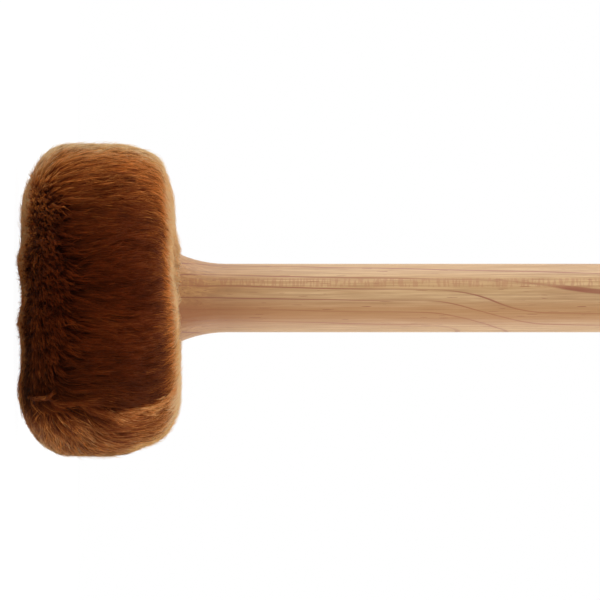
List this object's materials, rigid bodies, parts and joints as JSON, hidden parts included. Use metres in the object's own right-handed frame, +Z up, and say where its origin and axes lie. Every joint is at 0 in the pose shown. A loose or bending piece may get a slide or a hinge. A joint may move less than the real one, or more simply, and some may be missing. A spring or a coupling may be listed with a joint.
{
  "type": "gong mallet",
  "caption": "Gong mallet: a flared round wooden handle tenoned and screwed into a padded, fur-covered drum-shaped head.",
  "frame": {"origin": "centre of the flat striking face, which the mallet stands on", "axes": "+Z runs up the handle from the striking face to the butt; the cover's seam lies 46 degrees from +X towards -Y"},
  "size_m": [0.1016, 0.1016, 0.368],
  "materials": {
    "handle_wood": "turned, sanded and oiled maple, satin",
    "core_wood": "turned hardwood, unfinished",
    "fixing_steel": "bright zinc plate",
    "felt": "pressed wool felt",
    "fur": "short dense brown pile on knitted backing, combed along the head",
    "cord": "braided cotton"
  },
  "bodies": {
    "root": {"handle": "handle_wood", "head_core": "core_wood", "core_washer": "fixing_steel", "core_screw": "fixing_steel", "inner_felt_band": "felt", "outer_felt_band": "felt", "front_felt_pad": "felt", "rear_felt_pad": "felt", "fur_cover": "fur", "front_drawstring": "cord", "rear_drawstring": "cord"}
  },
  "joints": []
}
